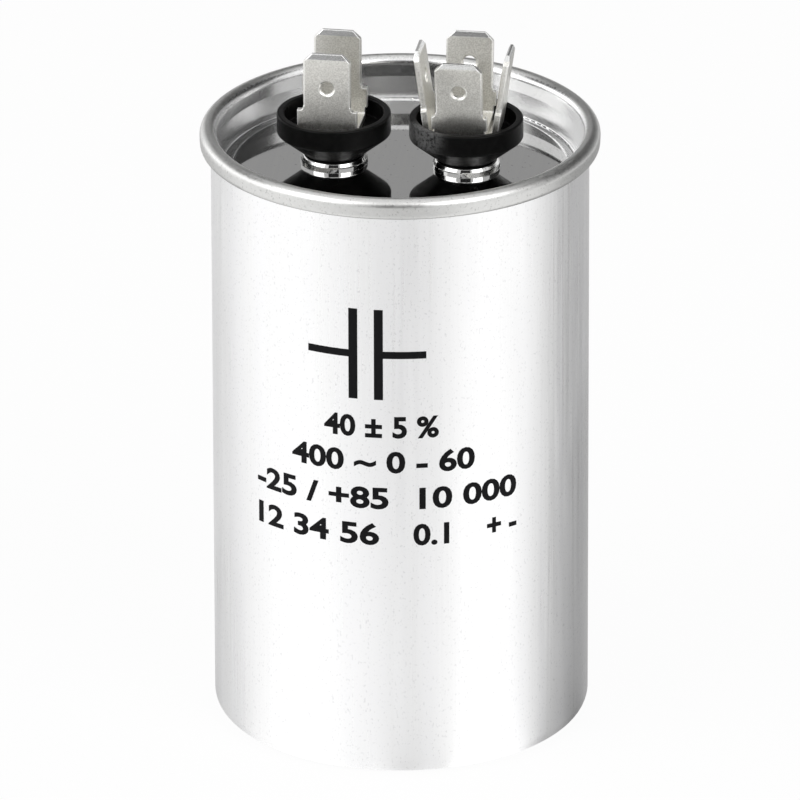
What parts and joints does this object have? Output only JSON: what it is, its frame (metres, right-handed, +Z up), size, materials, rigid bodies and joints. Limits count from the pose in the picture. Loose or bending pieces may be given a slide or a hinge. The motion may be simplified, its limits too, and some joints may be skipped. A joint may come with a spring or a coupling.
{
  "type": "motor run capacitor",
  "caption": "Motor run capacitor: round drawn aluminium can with a double-seamed lid and two riveted quick-connect terminals in black insulating cups",
  "frame": {"origin": "centre of the can's standing ring, on the floor under the can's axis", "axes": "+Z up along the can's axis to the blades; X through both terminals, the two-bladed one at -X and the four-bladed one at +X; the printed front faces -Y"},
  "size_m": [0.053, 0.053, 0.0945],
  "materials": {
    "drawn_aluminium": "satin, fine upright draw lines, black print on the front",
    "tinplate": "bright tinplate panel, satin seam",
    "seam_compound": "matt",
    "black_plastic": "moulded, dull black",
    "gasket_rubber": "matt",
    "washer_plastic": "pressed fibre",
    "tinned_strip": "satin tin over steel strip",
    "rivet_steel": "plated",
    "film_roll": "metallised film under a clear wrap, sprayed metal ends",
    "spacer_plastic": "moulded, natural",
    "tinned_copper": "tinned strap"
  },
  "bodies": {
    "root": {"can": "drawn_aluminium", "element_spacer": "spacer_plastic", "left_cup_gasket": "gasket_rubber", "left_inner_washer": "washer_plastic", "left_lead": "tinned_copper", "left_rivet": "rivet_steel", "left_solder_lug": "tinned_strip", "left_tab_strip": "tinned_strip", "left_terminal_cup": "black_plastic", "lid": "tinplate", "right_cup_gasket": "gasket_rubber", "right_inner_washer": "washer_plastic", "right_lead": "tinned_copper", "right_rivet": "rivet_steel", "right_solder_lug": "tinned_strip", "right_tab_strip_lower": "tinned_strip", "right_tab_strip_upper": "tinned_strip", "right_terminal_cup": "black_plastic", "seam_compound": "seam_compound", "wound_element": "film_roll"}
  },
  "joints": []
}
